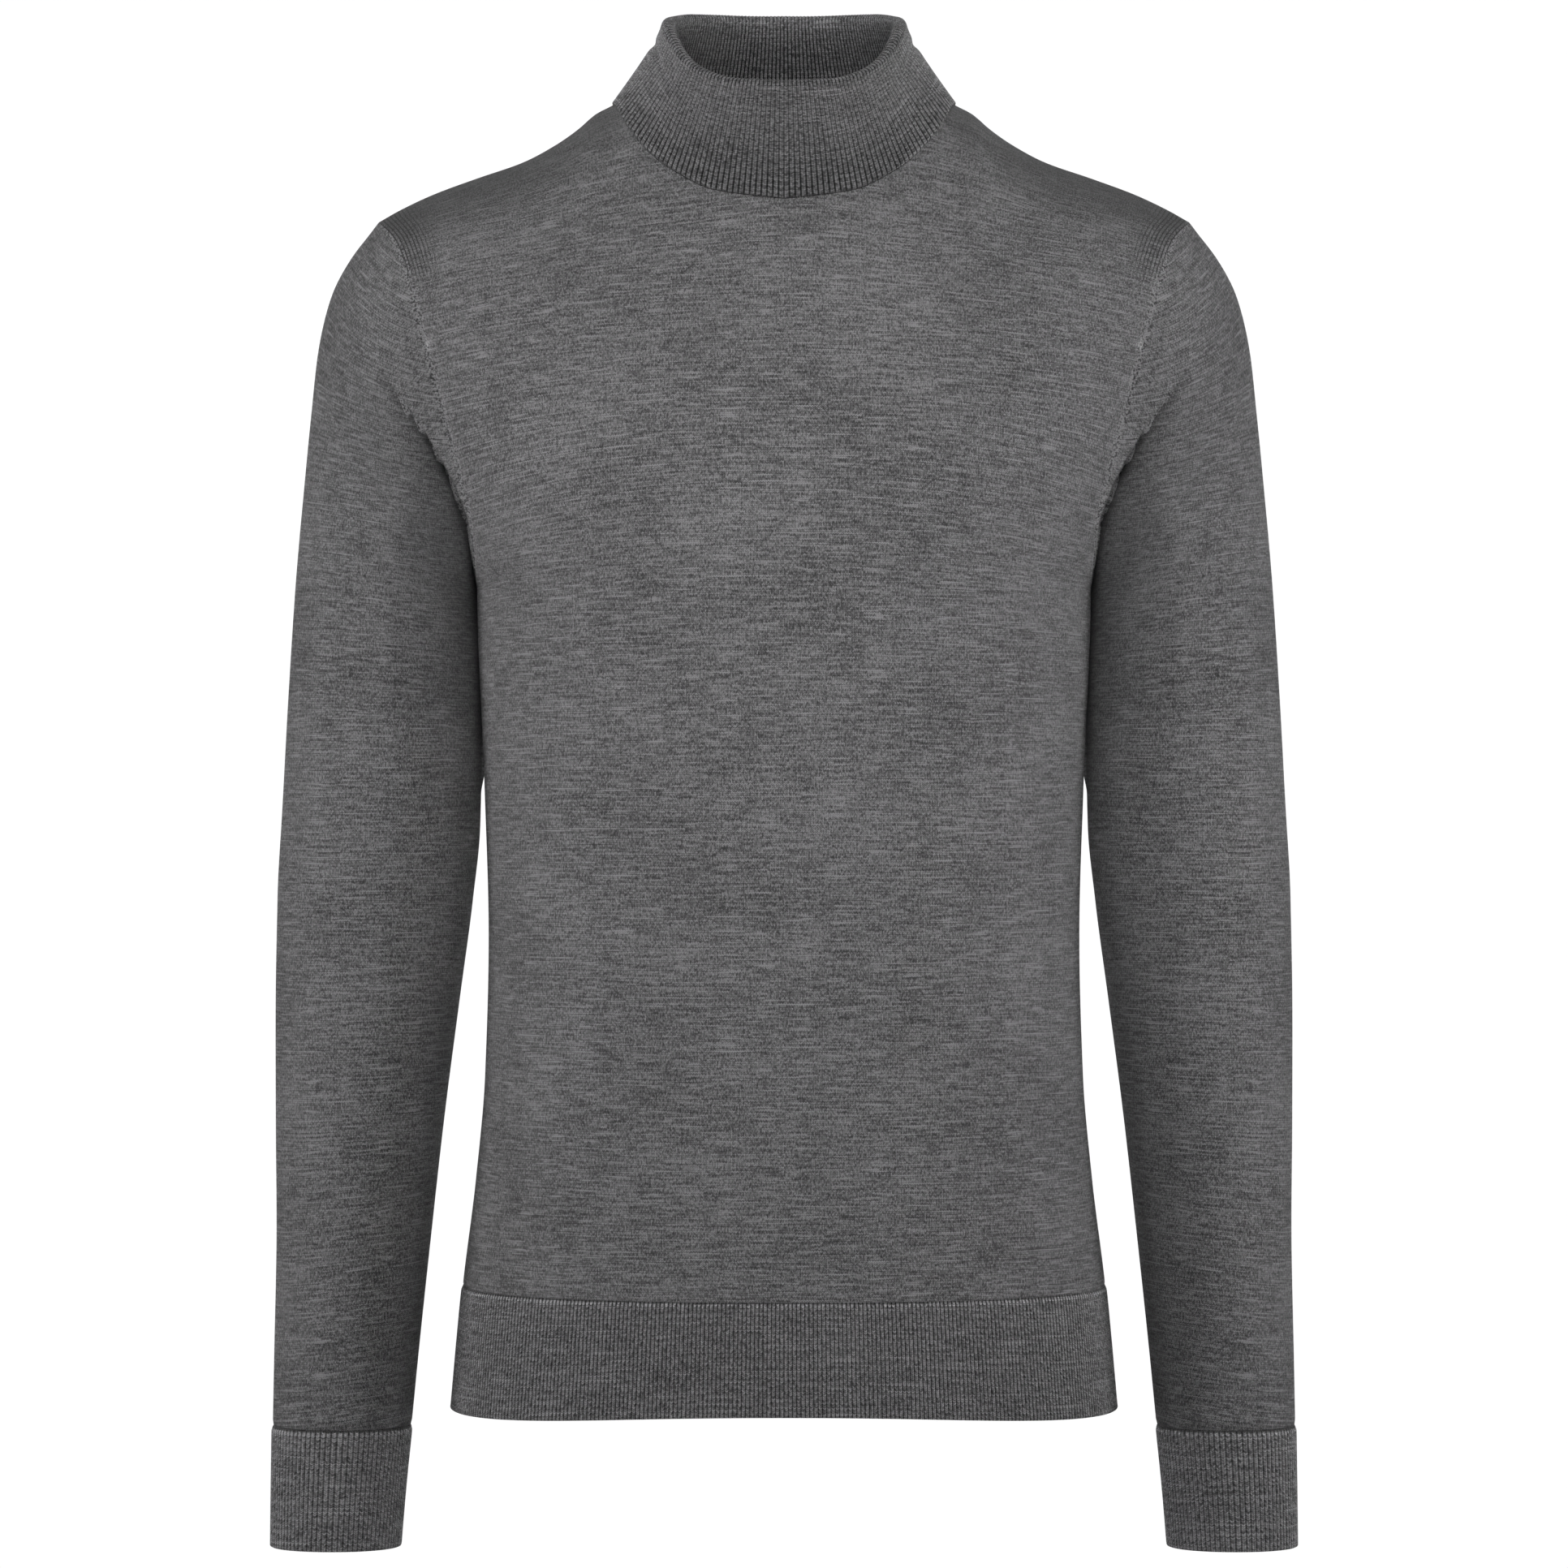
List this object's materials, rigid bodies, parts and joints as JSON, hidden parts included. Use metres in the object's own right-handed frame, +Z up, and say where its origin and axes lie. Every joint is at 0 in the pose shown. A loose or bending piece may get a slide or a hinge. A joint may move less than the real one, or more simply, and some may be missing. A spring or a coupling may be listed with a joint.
{
  "type": "turtleneck sweater",
  "caption": "Long-sleeved fine-knit turtleneck sweater with set-in sleeves, turned-down rib collar, rib hem and rib cuffs, filled out and hanging.",
  "frame": {"origin": "middle of the neck at the height where the shoulders carry the sweater, on the plane of the side seams", "axes": "+Z up, the front of the sweater faces -Y, the wearer's left is +X"},
  "size_m": [0.5282, 0.2372, 0.7948],
  "materials": {
    "knit_body": "matt fine plain knit, heather grey",
    "knit_rib": "matt one-by-one rib knit, heather grey"
  },
  "bodies": {
    "root": {"front_panel": "knit_body", "back_panel": "knit_body", "sleeve_left": "knit_body", "sleeve_right": "knit_body", "cuff_left": "knit_rib", "cuff_right": "knit_rib", "hem_rib_front": "knit_rib", "hem_rib_back": "knit_rib", "collar": "knit_rib"}
  },
  "joints": []
}
